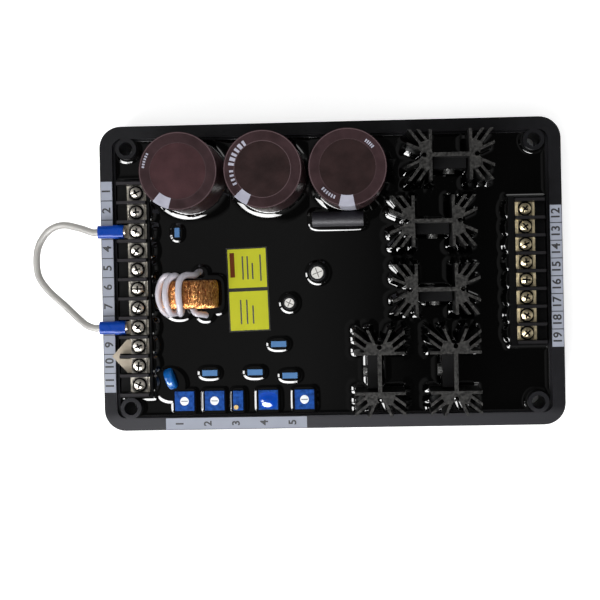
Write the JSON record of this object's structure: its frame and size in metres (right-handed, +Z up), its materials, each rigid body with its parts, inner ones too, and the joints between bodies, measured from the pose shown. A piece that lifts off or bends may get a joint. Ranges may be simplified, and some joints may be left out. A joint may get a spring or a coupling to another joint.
{
  "type": "automatic voltage regulator",
  "caption": "Potted automatic voltage regulator: flat tray of components in black resin, with barrier terminal strips, finned heatsinks and trimmers.",
  "frame": {"origin": "centre of the tray's mounting face", "axes": "+X along the tray's long side towards the shorter terminal strip, +Y towards the large capacitors, +Z up out of the tray"},
  "size_m": [0.2618, 0.15, 0.0588],
  "materials": {
    "tray_plastic": "satin moulded thermoset, black",
    "board_laminate": "green board laminate",
    "potting_resin": "glossy black cast resin",
    "terminal_plastic": "satin black moulding",
    "nickel": "nickel-plated steel",
    "brass_plate": "bright brass",
    "can_aluminium": "drawn aluminium",
    "sleeve_film": "brown shrink film",
    "disc_paper": "dark insulating disc",
    "copper_wire": "enamelled copper winding",
    "white_wire": "white wire insulation",
    "can_sleeve_dark": "dark sleeve with bright can top",
    "film_blue": "light blue box",
    "varistor_blue": "blue epoxy dip",
    "resistor_black": "black coating",
    "trimmer_blue": "blue moulding",
    "rotor_white": "white rotor",
    "lacquer": "clear-set blue lacquer",
    "brass_screw": "turned brass",
    "anodised_black": "black anodised extrusion",
    "device_epoxy": "black epoxy",
    "steel_screw": "zinc-plated",
    "marker_film": "printed grey film",
    "label_film": "yellow-green printed film",
    "tinned": "tinned brass",
    "sleeve_blue": "blue insulating sleeve"
  },
  "bodies": {
    "regulator": {"tray": "tray_plastic", "circuit_board": "board_laminate", "potting_compound": "potting_resin", "input_terminal_housing": "terminal_plastic", "input_terminal_contacts": "nickel", "input_terminal_screws": "nickel", "field_terminal_housing": "terminal_plastic", "field_terminal_contacts": "brass_plate", "field_terminal_screws": "brass_plate", "reservoir_capacitor_1": "can_aluminium", "reservoir_capacitor_2": "can_aluminium", "reservoir_capacitor_3": "can_aluminium", "capacitor_sleeve_1": "sleeve_film", "capacitor_sleeve_2": "sleeve_film", "capacitor_sleeve_3": "sleeve_film", "capacitor_top_disc_1": "disc_paper", "capacitor_top_disc_2": "disc_paper", "capacitor_top_disc_3": "disc_paper", "current_transformer_ring": "copper_wire", "primary_turns": "white_wire", "small_capacitor_1": "can_sleeve_dark", "small_capacitor_2": "can_sleeve_dark", "film_capacitor_1": "film_blue", "film_capacitor_2": "film_blue", "film_capacitor_3": "film_blue", "film_capacitor_4": "film_blue", "film_capacitor_5": "film_blue", "varistor": "varistor_blue", "power_resistor": "resistor_black", "trimmer_body_1": "trimmer_blue", "trimmer_body_2": "trimmer_blue", "trimmer_body_3": "trimmer_blue", "trimmer_body_4": "trimmer_blue", "trimmer_seal_3": "lacquer", "voltage_trimmer_body": "trimmer_blue", "heatsink_1": "anodised_black", "heatsink_2": "anodised_black", "heatsink_3": "anodised_black", "heatsink_4": "anodised_black", "heatsink_5": "anodised_black", "power_device_1": "device_epoxy", "power_device_2": "device_epoxy", "power_device_3": "device_epoxy", "power_device_4": "device_epoxy", "power_device_5": "device_epoxy", "device_screws": "steel_screw", "left_marker_strip": "marker_film", "right_marker_strip": "marker_film", "trimmer_marker_strip": "marker_film", "compound_label": "label_film", "terminal_link": "tinned", "jumper_wire": "white_wire", "jumper_fork_terminals": "tinned", "jumper_sleeves": "sleeve_blue"},
    "rotor_1": {"trimmer_rotor_1": "rotor_white"},
    "rotor_2": {"trimmer_rotor_2": "rotor_white"},
    "rotor_4": {"trimmer_rotor_4": "rotor_white"},
    "adjusting_screw": {"voltage_trimmer_screw": "brass_screw"}
  },
  "joints": [
    {"name": "trimmer_1_turn", "type": "hinge", "parent": "regulator", "child": "rotor_1", "pos_m": [-0.07364, -0.06105, 0.0235], "axis": [0, 0, 1], "range_deg": [-140, 140]},
    {"name": "trimmer_2_turn", "type": "hinge", "parent": "regulator", "child": "rotor_2", "pos_m": [-0.05872, -0.06105, 0.0235], "axis": [0, 0, 1], "range_deg": [-140, 140]},
    {"name": "trimmer_4_turn", "type": "hinge", "parent": "regulator", "child": "rotor_4", "pos_m": [-0.01428, -0.06105, 0.0235], "axis": [0, 0, 1], "range_deg": [-140, 140]},
    {"name": "voltage_screw_turn", "type": "hinge", "parent": "regulator", "child": "adjusting_screw", "pos_m": [-0.04796, -0.06428, 0.0244], "axis": [0, 0, 1], "continuous": true}
  ]
}
